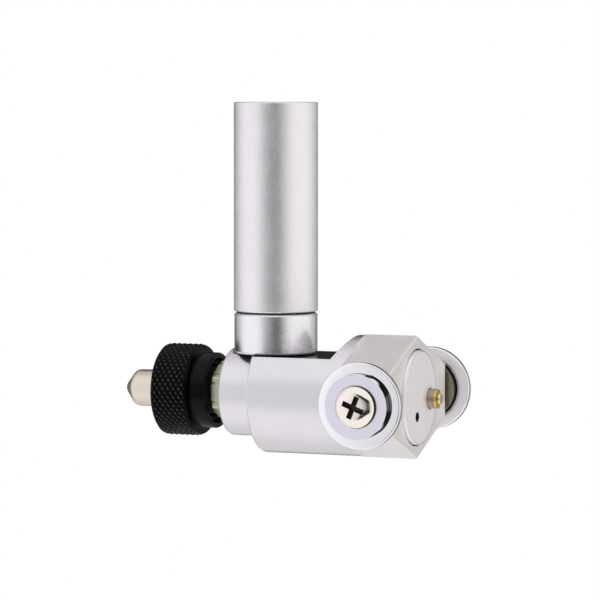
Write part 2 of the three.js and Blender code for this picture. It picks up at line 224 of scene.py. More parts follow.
def mixed(tree, share, first, second):
    """The first colour blended into the second by the share."""
    mix = add(tree, "ShaderNodeMix", {0: share, 6: first, 7: second}, data_type="RGBA")
    return mix.outputs[2]


def worked_surface_group():
    """Machined or blasted metal: fine marks drawn out along Stretch, over broad soft patches.
    Both vary the tint and the roughness, and the fine marks also tilt the surface."""
    group = bpy.data.node_groups.new("worked surface", "ShaderNodeTree")
    face = group.interface
    face.new_socket("Tint", in_out="INPUT", socket_type="NodeSocketColor")
    face.new_socket("Tint variation", in_out="INPUT", socket_type="NodeSocketFloat")
    face.new_socket("Roughness", in_out="INPUT", socket_type="NodeSocketFloat")
    face.new_socket("Roughness variation", in_out="INPUT", socket_type="NodeSocketFloat")
    face.new_socket("Stretch", in_out="INPUT", socket_type="NodeSocketVector")
    face.new_socket("Relief", in_out="INPUT", socket_type="NodeSocketFloat")
    face.new_socket("Color", in_out="OUTPUT", socket_type="NodeSocketColor")
    face.new_socket("Roughness", in_out="OUTPUT", socket_type="NodeSocketFloat")
    face.new_socket("Normal", in_out="OUTPUT", socket_type="NodeSocketVector")
    given = add(group, "NodeGroupInput").outputs
    place = add(group, "ShaderNodeTexCoord").outputs["Object"]
    drawn_out = add(group, "ShaderNodeVectorMath", {0: place, 1: given["Stretch"]}, operation="MULTIPLY")
    fine = add(group, "ShaderNodeTexNoise", {"Vector": drawn_out.outputs[0], "Scale": 1.0, "Detail": 3.0})
    broad = add(group, "ShaderNodeTexNoise", {"Vector": place, "Scale": 260.0, "Detail": 2.0})
    marks = calc(group, "SUBTRACT", fine.outputs["Fac"], 0.5)
    patches = calc(group, "SUBTRACT", broad.outputs["Fac"], 0.5)
    both = calc(group, "MULTIPLY_ADD", patches, 0.6, marks)
    shift = calc(group, "MULTIPLY", both, given["Tint variation"])
    level = calc(group, "ADD", shift, 1.0)
    tint = add(group, "ShaderNodeVectorMath", {0: given["Tint"], "Scale": level}, operation="SCALE")
    spread = calc(group, "MULTIPLY", both, given["Roughness variation"])
    rough = calc(group, "ADD", given["Roughness"], spread, clamp=True)
    bump = add(group, "ShaderNodeBump", {"Height": fine.outputs["Fac"], "Strength": 1.0,
                                        "Distance": given["Relief"]})
    results = {"Color": tint.outputs[0], "Roughness": rough, "Normal": bump.outputs[0]}
    add(group, "NodeGroupOutput", results)
    return group


def crest_glint_group():
    """Where the crest attribute is high, a speckled paler colour shows: painted highlight glints on the
    knurl's crests.
    """
    group = bpy.data.node_groups.new("crest glint", "ShaderNodeTree")
    face = group.interface
    face.new_socket("Color", in_out="INPUT", socket_type="NodeSocketColor")
    face.new_socket("Glint color", in_out="INPUT", socket_type="NodeSocketColor")
    face.new_socket("Color", in_out="OUTPUT", socket_type="NodeSocketColor")
    given = add(group, "NodeGroupInput").outputs
    crest = add(group, "ShaderNodeAttribute", attribute_name="crest").outputs["Fac"]
    place = add(group, "ShaderNodeTexCoord").outputs["Object"]
    speckle = add(group, "ShaderNodeTexNoise", {"Vector": place, "Scale": 900.0, "Detail": 1.0})
    patchy = calc(group, "MULTIPLY", crest, speckle.outputs["Fac"])
    add(group, "NodeGroupOutput", {"Color": mixed(group, patchy, given["Color"], given["Glint color"])})
    return group


WORKED = worked_surface_group()
CREST_GLINT = crest_glint_group()


def worked_metal(name, tint, roughness, stretch, tint_variation=0.1, roughness_variation=0.1,
                 relief=2e-6, metallic=1.0, specular=0.5, glint_color=None):
    """A material with the worked surface. stretch is how many marks there are in a metre along
    x, y and z, and relief is their height in metres."""
    material = bpy.data.materials.new(name)
    material.use_nodes = True
    tree = material.node_tree
    tree.nodes.clear()
    surface = add(tree, "ShaderNodeGroup", node_tree=WORKED)
    surface.inputs["Tint"].default_value = tint
    surface.inputs["Tint variation"].default_value = tint_variation
    surface.inputs["Roughness"].default_value = roughness
    surface.inputs["Roughness variation"].default_value = roughness_variation
    surface.inputs["Stretch"].default_value = stretch
    surface.inputs["Relief"].default_value = relief
    color = surface.outputs["Color"]
    # A paler colour on the crests: painted highlight.
    if glint_color:
        glint = add(tree, "ShaderNodeGroup", node_tree=CREST_GLINT)
        tree.links.new(color, glint.inputs["Color"])
        glint.inputs["Glint color"].default_value = glint_color
        color = glint.outputs["Color"]
    shader = add(tree, "ShaderNodeBsdfPrincipled", {
        "Base Color": color,
        "Roughness": surface.outputs["Roughness"],
        "Normal": surface.outputs["Normal"],
        "Metallic": metallic,
        "Specular IOR Level": specular,
    })
    add(tree, "ShaderNodeOutputMaterial", {"Surface": shader.outputs[0]})
    return material


# Each finish: name, tint, roughness, marks in a metre along x, y and z, how much the tint and the
# roughness vary, the relief, and for the last few how metallic and how shiny it is.
blasted = worked_metal(
    "blasted_aluminium", srgb(240, 238, 240), 0.42, (2600, 2600, 1100), 0.16, 0.14, 8e-6
)
collar_metal = worked_metal(
    "collar_aluminium", srgb(240, 239, 242), 0.28, (1500, 1500, 2600), 0.14, 0.12, 5e-6
)
turned_metal = worked_metal(
    "turned_aluminium", srgb(228, 226, 230), 0.32, (7000, 500, 500), 0.12, 0.1, 5e-6
)
faced_metal = worked_metal(
    "faced_aluminium", srgb(250, 248, 250), 0.55, (1600, 1600, 1600), 0.08, 0.08, 3e-6
)
milled_metal = worked_metal(
    "milled_aluminium", srgb(243, 239, 238), 0.52, (1500, 1500, 900), 0.12, 0.08, 4e-6
)
hub_metal = worked_metal("hub_aluminium", srgb(236, 233, 244), 0.26, (900, 900, 900), 0.06, 0.06, 2e-6)
polished = worked_metal("polished_steel", srgb(246, 245, 247), 0.04, (700, 700, 700), 0.03, 0.04, 0.0)
nickel = worked_metal("nickel_plate", srgb(244, 238, 229), 0.12, (900, 900, 900), 0.06, 0.08, 1e-6)
steel = worked_metal("machined_steel", srgb(196, 194, 190), 0.3, (2500, 2500, 2500), 0.12, 0.12, 3e-6)
ground_steel = worked_metal("ground_steel", srgb(222, 214, 200), 0.2, (5000, 400, 400), 0.1, 0.1, 3e-6)
zinc = worked_metal("zinc_plate", srgb(198, 200, 172), 0.42, (3000, 1200, 1200), 0.14, 0.12, 4e-6)
dark_steel = worked_metal("dark_steel", srgb(168, 156, 136), 0.2, (900, 900, 900), 0.12, 0.12, 3e-6)
# Darker tint for the milled flat: painted dark reflection.
ground_flat_painted_dark = worked_metal("ground_flat_painted_dark", srgb(150, 149, 154), 0.07, (5000, 400, 400), 0.1, 0.06, 1e-6)
brass = worked_metal("turned_brass", srgb(216, 184, 116), 0.24, (4000, 900, 900), 0.1, 0.1, 3e-6)
pale_tip = worked_metal("polished_tip", srgb(226, 214, 176), 0.16, (900, 900, 900), 0.06, 0.06, 0.0)
# Paler, half-metallic satin for the rims' inner side: painted light that keeps it bright.
satin_painted_bright = worked_metal("satin_painted_bright_steel", srgb(252, 251, 254), 0.5, (900, 900, 900), 0.04, 0.06, 1e-6, 0.4)
# Darker olive steel for the hubs' inner face: painted shade between wheel and body.
painted_shade_steel = worked_metal("painted_shade_steel", srgb(150, 148, 128), 0.3, (4000, 400, 400), 0.25, 0.12, 2e-6)
black = worked_metal("black_finish", srgb(5, 3, 4), 0.3, (2400, 2400, 2400), 0.3, 0.14, 4e-6, 0.0, 0.14)
# The black knurl's last colour is a painted highlight: paler glints on the crests of the ridges that lean
# one way.
knurl_black = worked_metal(
    "black_knurl", srgb(4, 3, 3), 0.3, (2400, 2400, 2400), 0.3, 0.14, 4e-6, 0.0, 0.06, srgb(120, 115, 112)
)
# Dark brown painted shade for the screws' recesses and the heads' lower edges.
recess_shade = worked_metal("painted_recess_shade", srgb(62, 42, 34), 0.42, (3000, 3000, 3000), 0.5, 0.2, 6e-6, 0.0, 0.3)
# The rubber finish also serves as painted black shade on the bush's thread, in the disc's recess, and on
# the hubs' inner walls and grooves.
rubber = worked_metal("rubber", srgb(22, 21, 21), 0.7, (3000, 3000, 3000), 0.3, 0.1, 6e-6, 0.0, 0.3)
finish_of_slot = {
    "satin_aluminium": blasted, "turned_aluminium": turned_metal, "polished_steel": polished,
    "steel": steel, "spindle_steel": ground_steel, "nickel": nickel, "zinc_plate": zinc,
    "brass": brass, "pin_tip": pale_tip, "black_knob": black, "rubber": rubber,
}

# ----------------------------------------------------------------------- cross body shape
BODY_RADIUS = 11.43
BOSS_RADIUS = 8.4
FLAT = 7.43  # height of the milled flat above the axis
BOSS_FLAT_HALF = math.sqrt(BOSS_RADIUS**2 - FLAT**2)
BLOCK_RIDGE = 11.6
BLOCK_SIDE_HALF = 5.3
BLOCK_HALF_WIDTH = half_width("body_block")
BODY_REAR, BLOCK_FRONT = span("body_block", "x")
STEP = -1.6  # where the boss steps out to the round body
RAMP_FOOT = 14.4
RAMP_SLOPE = 1.6  # rise over run of the ramp from the flat up to the block
BLOCK_BACK = 18.1
ROUND_END = 18.4  # where the round body that stands out of the block's facets ends
SPOTFACE_RADIUS = 8.2
EDGE = 0.4
BLOCK_EDGE = 0.35
DISC_BORE = 9.1
DISC_SEAT = 26.0
FACET_ANGLE = math.degrees(math.atan2(BLOCK_HALF_WIDTH, BLOCK_RIDGE - BLOCK_SIDE_HALF))

# Half of a cross-section runs from its top round the +Y side to its bottom through ten corners,
# and the stretch after each corner has this many steps.
OUTLINE_STEPS = (4, 8, 18, 14, 5, 5, 14, 20, 2)


def on_circle(radius, degrees):
    """A point (y, z) on a circle about the axis."""
    angle = math.radians(degrees)
    return (radius * math.cos(angle), radius * math.sin(angle))


def full_outline(corners, kinds):
    """Ten corners (y, z) joined by straight lines, or by arcs about the axis where the kind is
    'a', and then the mirror image, make one ring."""
    y, z = [], []
    for start, end, kind, steps in zip(corners, corners[1:], kinds, OUTLINE_STEPS):
        t = np.arange(steps) / steps
        if kind == "a":
            radius = math.hypot(*end)
            first, last = math.atan2(start[1], start[0]), math.atan2(end[1], end[0])
            angle = first + (last - first) * t
            y.append(radius * np.cos(angle))
            z.append(radius * np.sin(angle))
        else:
            y.append(start[0] + (end[0] - start[0]) * t)
            z.append(start[1] + (end[1] - start[1]) * t)
    y = np.append(np.concatenate(y), corners[-1][0])
    z = np.append(np.concatenate(z), corners[-1][1])
    return np.append(y, -y[-2:0:-1]), np.append(z, z[-2:0:-1])


def round_outline(radius, angles):
    """A round section, its ten corners at the given angles in degrees."""
    return full_outline([on_circle(radius, a) for a in angles], "a" * 9)


def flat_outline(radius, height):
    """A round section with a level flat cut across its top."""
    half = math.sqrt(radius**2 - height**2)
    edge = math.degrees(math.atan2(height, half))
    corners = [(0, height), (0.45 * half, height), (half, height)]
    corners += [on_circle(radius, a) for a in (min(edge - 2, 49.4), 18.3, 0, -18.3, -49.4, -87.6, -90)]
    return full_outline(corners, "ll" + "a" * 7)


def block_outline(inset=0.0, bulge=False):
    """The flattened hexagon, drawn in by inset on every side. bulge adds the round body where it
    stands out of the sloping facets."""
    tilt = math.radians(FACET_ANGLE)
    reach = BLOCK_RIDGE * math.sin(tilt) - inset
    side = BLOCK_HALF_WIDTH - inset
    corner = (reach - side * math.cos(tilt)) / math.sin(tilt)
    meet = math.degrees(math.acos(BLOCK_RIDGE * math.sin(tilt) / BODY_RADIUS))

    def on_facet(degrees):
        return on_circle(reach / math.cos(math.radians(degrees - FACET_ANGLE)), degrees)

    upper, lower = FACET_ANGLE + meet, FACET_ANGLE - meet
    if bulge:
        crossings = [on_circle(BODY_RADIUS, upper), on_circle(BODY_RADIUS, lower)]
    else:
        crossings = [on_facet(upper), on_facet(lower)]
    top = [on_facet(90), on_facet((90 + upper) / 2), *crossings, (side, corner)]
    bottom = [(y, -z) for y, z in reversed(top)]
    curve = "a" if bulge else "l"
    return full_outline(top + [(side, 0)] + bottom[:3] + bottom[4:], f"ll{curve}llll{curve}l")


# The ten corners' angles in degrees where a section is round: beside the boss, and elsewhere.
BOSS_ANGLES = (90, 77.9, 62.2, 49.4, 18.3, 0, -18.3, -49.4, -87.6, -90)
BLOCK_ANGLES = (90, 88.9, 87.6, 49.4, 18.3, 0, -18.3, -49.4, -87.6, -90)


def station(x, outline):
    """An outline stood at x, which may be one place or one for each point."""
    y, z = outline
    return np.stack([np.broadcast_to(x, y.shape), y, z], axis=-1)


def on_block(x, y, z):
    """Whether a place is on the block's own facets, sides or front, and not on the round body."""
    round_body = abs(math.hypot(y, z) - BODY_RADIUS) < 0.02 and x < ROUND_END + 0.01
    return not round_body and math.hypot(y, z) > DISC_BORE + 0.2


def body_surface():
    """The cross body as one closed sheet: outlines carried along X, from the rear boss over the
    round body, the milled flat and its ramp to the hexagonal block, and then back through the
    stepped bore to the rear. The spot face leaves an arc-shaped wall on the boss."""
    boss_flat = flat_outline(BOSS_RADIUS, FLAT)
    spot = -np.sqrt(SPOTFACE_RADIUS**2 - np.minimum(np.abs(boss_flat[0]), BOSS_FLAT_HALF) ** 2)
    rings = [
        station(BODY_REAR, round_outline(BOSS_RADIUS - EDGE, BOSS_ANGLES)),
        station(BODY_REAR + 0.12, round_outline(BOSS_RADIUS - 0.4 * EDGE, BOSS_ANGLES)),
        station(BODY_REAR + EDGE - 0.02, round_outline(BOSS_RADIUS, BOSS_ANGLES)),
        station(spot, round_outline(BOSS_RADIUS, BOSS_ANGLES)),
        station(spot, boss_flat),
        station(STEP, boss_flat),
        station(STEP, flat_outline(BODY_RADIUS - EDGE, FLAT)),
        station(STEP + 0.12, flat_outline(BODY_RADIUS - 0.4 * EDGE, FLAT)),
        station(STEP + EDGE, flat_outline(BODY_RADIUS, FLAT)),
    ]
    for x in np.linspace(STEP + 1.0, RAMP_FOOT, 8):
        rings.append(station(x, flat_outline(BODY_RADIUS, FLAT)))
    for height in np.linspace(FLAT + 0.2, BODY_RADIUS - 0.02, 20):
        x = RAMP_FOOT + (height - FLAT) / RAMP_SLOPE
        rings.append(station(x, flat_outline(BODY_RADIUS, height)))
    ramp_top = RAMP_FOOT + (BODY_RADIUS - FLAT) / RAMP_SLOPE
    rings.append(station(ramp_top + 0.05, round_outline(BODY_RADIUS, BLOCK_ANGLES)))
    rings.append(station(BLOCK_BACK, round_outline(BODY_RADIUS, BLOCK_ANGLES)))
    rings.append(station(BLOCK_BACK, block_outline(bulge=True)))
    rings.append(station(ROUND_END, block_outline(bulge=True)))
    rings.append(station(ROUND_END, block_outline()))
    for x in np.linspace(ROUND_END + 0.2, BLOCK_FRONT - BLOCK_EDGE, 8):
        rings.append(station(x, block_outline()))
    rings.append(station(BLOCK_FRONT - 0.1, block_outline(inset=0.15)))
    rings.append(station(BLOCK_FRONT, block_outline(inset=BLOCK_EDGE)))
    bore = [
        (DISC_BORE + 0.15, BLOCK_FRONT), (DISC_BORE, BLOCK_FRONT - 0.15), (DISC_BORE, DISC_SEAT),
        (8.0, DISC_SEAT), (8.0, 17.7), (7.1, 17.7), (7.1, 15.5), (5.2, 15.5), (5.2, 4.5),
        (3.63, 4.5), (3.63, -3.0), (4.2, -3.0), (4.2, BODY_REAR),
    ]
    rings += [station(x, round_outline(radius, BLOCK_ANGLES)) for radius, x in bore]
    return mesh_from_grid("cross_body", np.stack(rings), close_rows=True, sharp=24)


cross_body = stand_for("body_block", body_surface(), turned_metal)
# The milled flat takes the darker tint: painted dark reflection.
repaint(cross_body, ground_flat_painted_dark, lambda x, y, z, normal: x < RAMP_FOOT and abs(z - FLAT) < 0.01)
repaint(cross_body, milled_metal, lambda x, y, z, normal: x > BLOCK_BACK and on_block(x, y, z))

# ------------------------------------------------------------------------------- handle
STUD_BORE = 3.1
TUBE_WALL = 1.5
COLLAR_CHAMFER = 0.35
tube_bottom, HANDLE_TOP = span("handle_tube", "z")
tube_radius = half_width("handle_tube")
tube = ring_profile(tube_radius - TUBE_WALL, tube_radius, tube_bottom, HANDLE_TOP)
stand_for("handle_tube", turned("tube_sleeve", "z", soft_loop(tube, 0.25), closed=True), blasted)
collar_bottom, collar_top = span("handle_collar", "z")
collar_radius = half_width("handle_collar")
collar = [
    (STUD_BORE, collar_bottom),
    (collar_radius - COLLAR_CHAMFER, collar_bottom),
    (collar_radius, collar_bottom + COLLAR_CHAMFER),
    (collar_radius, collar_top - COLLAR_CHAMFER),
    (collar_radius - COLLAR_CHAMFER, collar_top),
    (STUD_BORE, collar_top),
]
stand_for("handle_collar", turned("foot_collar", "z", soft_loop(collar, 0.12), closed=True), collar_metal)
plug_bottom, plug_top = span("handle_end_plug", "z")
plug_radius = half_width("handle_end_plug")
plug = [(0, plug_bottom), (plug_radius, plug_bottom), (plug_radius, plug_top - 0.02), (0, plug_top - 0.02)]
stand_for("handle_end_plug", turned("end_plug", "z", soft_line(plug, 0.15)), blasted)

# Plain rings and washers, each with its axis and bore radius.
for node, axis, bore in (
    ("handle_gasket", "z", STUD_BORE),
    ("seam_washer", "z", STUD_BORE),
    ("bush_stop_ring", "x", 4.65),
    ("knob_thread_insert", "x", 4.7),
    ("thrust_washer", "x", 3.73),
    ("spring_collar", "x", 3.53),
    ("spring_seat", "x", 3.63),
):
    profile = ring_profile(bore, half_width(node), *span(node, axis))
    ring = turned(f"{node}_ring", axis, soft_loop(profile, 0.06), closed=True, columns=120)
    stand_for(node, ring, finish_of_slot[slot_of[node]])

# ------------------------------------------------------------------------- setting knob
KNURL_FRONT = -15.4
KNURL_DEPTH = 0.2
DIAMONDS = 34
DIAMOND_LENGTH = 1.12
KNOB_COLUMNS = 960
NECK_RADIUS = 7.25
KNOB_BORE = 6.3
STEP_FRONT = -14.95


def tri(phase):
    """A triangle wave from 0 to 1."""
    return np.abs(2 * (phase - np.floor(phase)) - 1)


def knob_surface():
    """The knob as one closed sheet: the rear wall with the spindle's hole, the knurled band, a
    step, the smooth neck, and the bore back to the rear wall. The band is diamond pyramids with
    small flat tips: r = crest - depth * (1 - 1.1 * min(tri(u + v), tri(u - v))), no more than
    crest, with u the diamonds counted round it and v the diamonds counted along it. The crest
    attribute marks the ridges that lean one way, where tri(u - v) is high."""
    rear, front = span("knurled_knob", "x")
    crest = half_width("knurled_knob") - 0.01
    angle = np.arange(KNOB_COLUMNS) * TURN / KNOB_COLUMNS
    along = np.linspace(rear + 0.5, KNURL_FRONT, 84)[:, None]
    u, v = DIAMONDS * angle / TURN, (along - rear) / DIAMOND_LENGTH
    height = np.clip(1.1 * np.minimum(tri(u + v), tri(u - v)), 0, 1)
    fade = np.clip(np.minimum(along - rear - 0.5, KNURL_FRONT - along) / 0.2, 0, 1)
    band = crest - KNURL_DEPTH * (1 - height * fade)
    root = crest - KNURL_DEPTH
    before = [
        (3.73, rear + 1.2), (3.73, rear + 0.1), (3.83, rear), (7.9, rear), (8.2, rear + 0.05),
        (root, rear + 0.4),
    ]
    after = [
        (root, KNURL_FRONT + 0.05), (8.5, -15.03), (8.35, -15.0), (7.4, -14.98), (7.27, -14.93),
        (NECK_RADIUS, -14.8), (NECK_RADIUS, front - 0.3), (7.16, front - 0.1), (6.95, front),
        (6.4, front), (KNOB_BORE, front - 0.1), (KNOB_BORE, rear + 1.2),
    ]
    rows = [swept("x", np.full(KNOB_COLUMNS, r), x, angle) for r, x in before]
    rows += [swept("x", r, x, angle) for r, x in zip(band, along)]
    rows += [swept("x", np.full(KNOB_COLUMNS, r), x, angle) for r, x in after]
    piece = mesh_from_grid("knurled_grip", np.stack(rows), close_rows=True, sharp=50)
    x, y, z = (np.array([vertex.co for vertex in piece.data.vertices]) / MM).T
    u = DIAMONDS * np.arctan2(z - AXIS_Z, y) / TURN
    v = (x - rear) / DIAMOND_LENGTH
    on_crest = np.hypot(y, z - AXIS_Z) > root + 0.01
    # The crest attribute carries a painted highlight on the tips of the ridges that lean one way.
    across_ridge = np.clip((tri(u - v) - 0.62) / 0.38, 0, 1)
    along_ridge = np.clip((tri(u + v) - 0.25) / 0.6, 0, 1)
    glint = across_ridge * along_ridge * on_crest
    crest_glint = piece.data.attributes.new("crest", "FLOAT", "POINT")
    crest_glint.data.foreach_set("value", glint.astype(np.float32))
    return piece


knob = stand_for("knurled_knob", knob_surface(), black)
repaint(knob, knurl_black, lambda x, y, z, normal: x < STEP_FRONT and math.hypot(y, z) > 7.5)


def hexagon_radius(angle, across_flats, corner_radius):
    """Distance from the axis to a hexagon whose flats face +Y and -Y, with trimmed corners."""
    to_flat = (angle + TURN / 12) % (TURN / 6) - TURN / 12
    return np.minimum(across_flats / 2 / np.cos(to_flat), corner_radius)


THREAD_PITCH = 0.75
FLANGE_REAR = -11.3
FLANGE_FRONT = -8.6


def bush_surface():
    """The threaded bush as one closed sheet: a screw thread r = crest - depth * tri(x / pitch -
    turn) behind a hexagonal flange, a plain spigot in front, and the bore."""
    rear, front = span("thread_bush", "x")
    angle = np.arange(240) * TURN / 240
    plain = np.ones(240)
    hexagon = hexagon_radius(angle, 10.0, 5.68)
    rows = [(3.63 * plain, rear), (4.3 * plain, rear), (4.4 * plain, rear + 0.1)]
    for x in np.linspace(rear + 0.2, -11.9, 64):
        rows.append((4.6 - 0.4 * tri(x / THREAD_PITCH - angle / TURN), x))
    rows += [
        (4.3 * plain, FLANGE_REAR - 0.3), (4.3 * plain, FLANGE_REAR),
        (np.minimum(hexagon, 5.2), FLANGE_REAR), (hexagon, FLANGE_REAR + 0.25),
        (hexagon, FLANGE_FRONT - 0.25), (np.minimum(hexagon, 5.35), FLANGE_FRONT),
        (4.1 * plain, FLANGE_FRONT), (4.1 * plain, front), (3.63 * plain, front),
    ]
    grid = [swept("x", radius, x, angle) for radius, x in rows]
    return mesh_from_grid("screw_bush", np.stack(grid), close_rows=True, sharp=30)


bush = stand_for("thread_bush", bush_surface(), zinc)
# The thread behind the flange is painted black: painted shade inside the knob's bore.
repaint(bush, rubber, lambda x, y, z, normal: x < FLANGE_REAR + 0.05)

# ------------------------------------------------------------------------------ spindle
spindle_tip, spindle_end = span("spindle", "x")
SPINDLE_RADIUS = half_width("spindle")
SPIGOT_RADIUS, SPIGOT_START = 2.4, 18.6
NOSE = 1.8
nose = arc(0, spindle_tip + NOSE, NOSE, -90, -50)
flank = [(2.35, 1.4), (2.98, 1.9), (3.25, 2.2), (3.42, 2.5), (3.5, 2.85), (SPINDLE_RADIUS, 3.2)]
spindle_profile = nose + [(radius, spindle_tip + back) for radius, back in flank]
spindle_profile += [
    (SPINDLE_RADIUS, SPIGOT_START), (SPIGOT_RADIUS, SPIGOT_START),
    (SPIGOT_RADIUS, spindle_end), (0, spindle_end),
]
stand_for("spindle", turned("push_spindle", "x", spindle_profile, sharp=40), ground_steel)

# --------------------------------------------------------------------------- front disc
PIN_Y, PIN_Z = (span("pin_holder", axis)[0] + half_width("pin_holder", axis) for axis in "yz")
PIN_HOLE = 2.05
DIMPLE_Y, DIMPLE_Z, DIMPLE_RADIUS, DIMPLE_DEPTH = -1.8, -3.5, 0.9, 1.6


def disc_surface():
    """The front disc as one closed sheet: from its rim over the front face to the pin's hole,
    and back behind. Each row lies a share of the way from the rim's circle to the hole's, less a
    trim that rounds the rim's edge. A round recess sinks in the face."""
    back, front = span("front_disc", "x")
    radius = half_width("front_disc")
    angle = np.arange(360) * TURN / 360
    inward = PIN_HOLE - radius
    rows = [(0, back, 0), (0, front - 0.2, 0), (0, front - 0.06, 0.06), (0.01, front, 0.2 + 0.01 * inward)]
    rows += [(share, front, 0) for share in np.linspace(0.02, 1, 70)]
    rows += [(1, back, 0)]
    grid = []
    for share, x, trim in rows:
        circle = radius + inward * share - trim
        y = circle * np.cos(angle) + PIN_Y * share
        z = circle * np.sin(angle) + PIN_Z * share
        depth = np.clip((DIMPLE_RADIUS - np.hypot(y - DIMPLE_Y, z - DIMPLE_Z)) / 0.12, 0, 1)
        grid.append(np.stack([x - DIMPLE_DEPTH * depth * (x == front), y, z], axis=-1))
    return mesh_from_grid("front_disc_face", np.stack(grid), close_rows=True, sharp=40)


disc = stand_for("front_disc", disc_surface(), faced_metal)
DISC_FRONT = max(span("front_disc", "x"))


def in_dimple(x, y, z, normal):
    """Whether a place is on the recess's wall or floor."""
    below_face = DISC_FRONT - 0.03
    return math.hypot(y - DIMPLE_Y, z - DIMPLE_Z) < DIMPLE_RADIUS + 0.1 and 27 < x < below_face


# The recess's wall and floor are painted black: painted shade in the hollow.
repaint(disc, rubber, in_dimple)
for node, name, rounding in (
    ("pin_holder", "pin_barrel", 0.15),
    ("pin_ferrule", "pin_band", 0.1),
    ("pin_tip", "pin_nose", 0.45),
):
    start, end = span(node, "x")
    radius = half_width(node)
    profile = soft_line([(0, start), (radius, start), (radius, end), (0, end)], rounding)
    pin_piece = turned(name, "x", profile, centre=(PIN_Y, PIN_Z), columns=96, sharp=35)
    stand_for(node, pin_piece, dark_steel if node == "pin_holder" else finish_of_slot[slot_of[node]])

# ------------------------------------------------------------------------------- wheels
RIM_EDGE = 0.3
WHEEL_X = span("wheel_rim_near", "x")[0] + half_width("wheel_rim_near", "x")
RIM_SEAT = 6.0
HUB_BORE = 3.97
GROOVE_OUTER, GROOVE_DEPTH = 5.75, 0.35
BUSH_BORE, BUSH_RADIUS = 2.97, 3.9
SLEEVE_BORE, SLEEVE_RADIUS = 2.1, 2.9
SPACER_RADIUS = 3.6
SPACER_IN, SLEEVE_IN = 16.0, 16.7
SCREW_BASE = 22.0  # where the screw's head rests on the sleeve
SCREW_RIM = 0.55
SHANK_RADIUS = 2.0
SCREW_TOP = max(span("axle_screw_far", "y"))
SCREW_RADIUS = half_width("axle_screw_far", "x")


def dome_height(x, z):
    """How far out the screw's dome is, at a place seen along the axle."""
    share = np.minimum(np.hypot(x - WHEEL_X, z) / SCREW_RADIUS, 1)
    return SCREW_BASE + SCREW_RIM + (SCREW_TOP - SCREW_BASE - SCREW_RIM) * (1 - share**5)


def screw_surface(name, side):
    """A domed screw with a crossed recess: head height over radius r is
    h = rim + rise * (1 - (r / R)^5), less the recess depth inside the cross, 1.3 mm at its
    middle and 1 mm at the ends of its arms. The shank runs in to its tip."""
    tip = min(abs(value) for value in span(f"axle_screw_{name}", "y"))
    radius, base = SCREW_RADIUS, SCREW_BASE
    angle = np.arange(360) * TURN / 360
    arm, width, turn = 2.15, 1.0, math.radians(22)
    share = np.linspace(0, 1, 90)[:, None]
    r = radius * share
    dome = dome_height(WHEEL_X + r, 0)
    a = r * np.cos(angle + turn)
    b = r * np.sin(angle + turn)
    cross = np.maximum(
        np.clip((width / 2 - np.abs(a)) / 0.1, 0, 1) * np.clip((arm - np.abs(b)) / 0.12, 0, 1),
        np.clip((width / 2 - np.abs(b)) / 0.1, 0, 1) * np.clip((arm - np.abs(a)) / 0.12, 0, 1),
    )
    depth = 1.3 - 0.3 * (r / arm) ** 2
    height = dome - cross * depth
    below = [
        (radius, base + 0.1), (radius - 0.08, base), (SHANK_RADIUS, base), (SHANK_RADIUS, tip), (0, tip),
    ]
    rows = [swept("y", ring_r, side * ring_y, angle, (WHEEL_X, 0)) for ring_r, ring_y in zip(r, height)]
    rows += [swept("y", ring_r, side * ring_y, angle, (WHEEL_X, 0)) for ring_r, ring_y in below]
    return mesh_from_grid(f"cross_screw_{name}", np.stack(rows), sharp=45)


def in_recess(x, y, z, normal):
    """Whether a place on a screw's head is below its dome: the recess and the head's lower edge, which take
    a painted shade.
    """
    return SCREW_BASE - 1 < abs(y) < dome_height(x, z) - 0.12


